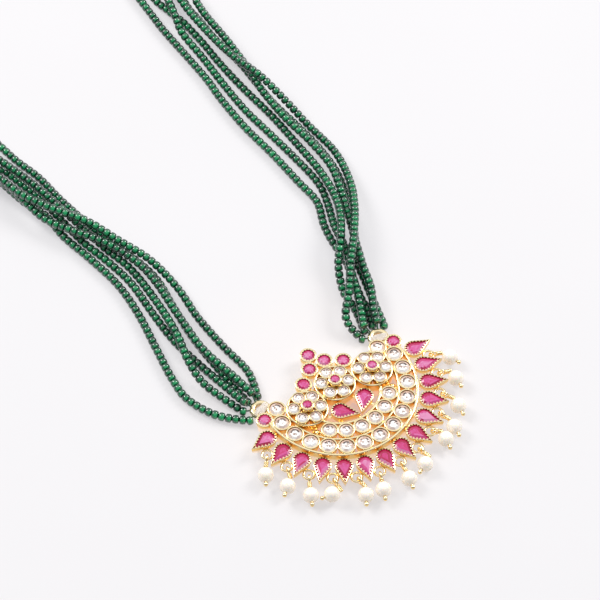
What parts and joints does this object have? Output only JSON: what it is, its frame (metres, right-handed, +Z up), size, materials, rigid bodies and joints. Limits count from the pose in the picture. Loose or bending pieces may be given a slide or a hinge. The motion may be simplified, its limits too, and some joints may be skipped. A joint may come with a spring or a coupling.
{
  "type": "choker necklace",
  "caption": "Short necklace lying flat: strings of green seed beads, a crescent gilt pendant of clear and red cut stones with flowers, a pear-stone fringe and pearls, and a barrel clasp.",
  "frame": {"origin": "middle of the footprint, on the surface that the necklace lies on", "axes": "+Y from the pendant to the clasp, +X to the right of the pendant, +Z up from the surface"},
  "size_m": [0.0829, 0.2388, 0.0075],
  "materials": {
    "gilt_metal": "bright polished gilt",
    "clasp_metal": "bright polished gilt",
    "red_stone": "faceted magenta red glass stone",
    "clear_stone": "faceted clear stone",
    "pearl": "creamy pearl lustre",
    "green_bead": "glossy translucent green glass"
  },
  "bodies": {
    "root": {"pendant_frame": "gilt_metal", "fringe_ruby_1": "red_stone", "fringe_ruby_2": "red_stone", "fringe_ruby_3": "red_stone", "fringe_ruby_4": "red_stone", "fringe_ruby_5": "red_stone", "fringe_ruby_6": "red_stone", "fringe_ruby_7": "red_stone", "fringe_ruby_8": "red_stone", "fringe_ruby_9": "red_stone", "fringe_ruby_10": "red_stone", "fringe_ruby_11": "red_stone", "fringe_ruby_12": "red_stone", "fringe_ruby_13": "red_stone", "fringe_ruby_14": "red_stone", "centre_pear_left": "red_stone", "centre_pear_right": "red_stone", "top_ruby_peak": "red_stone", "top_ruby_mid_left": "red_stone", "top_ruby_mid_right": "red_stone", "top_ruby_low_left": "red_stone", "top_ruby_low_right": "red_stone", "flower_ruby_top": "red_stone", "flower_ruby_left": "red_stone", "flower_ruby_right": "red_stone", "end_ruby_left": "red_stone", "end_ruby_right": "red_stone", "outer_white_stones": "clear_stone", "inner_white_stones": "clear_stone", "flower_white_stones": "clear_stone", "pearl_1": "pearl", "pearl_2": "pearl", "pearl_3": "pearl", "pearl_4": "pearl", "pearl_5": "pearl", "pearl_6": "pearl", "pearl_7": "pearl", "pearl_8": "pearl", "pearl_9": "pearl", "pearl_10": "pearl", "pearl_11": "pearl", "pearl_12": "pearl", "pearl_13": "pearl", "headpins": "gilt_metal", "strand_left_1": "green_bead", "strand_left_2": "green_bead", "strand_left_3": "green_bead", "strand_left_4": "green_bead", "strand_left_5": "green_bead", "strand_left_6": "green_bead", "strand_right_1": "green_bead", "strand_right_2": "green_bead", "strand_right_3": "green_bead", "strand_right_4": "green_bead", "strand_right_5": "green_bead", "strand_right_6": "green_bead", "barrel_clasp": "clasp_metal"}
  },
  "joints": []
}
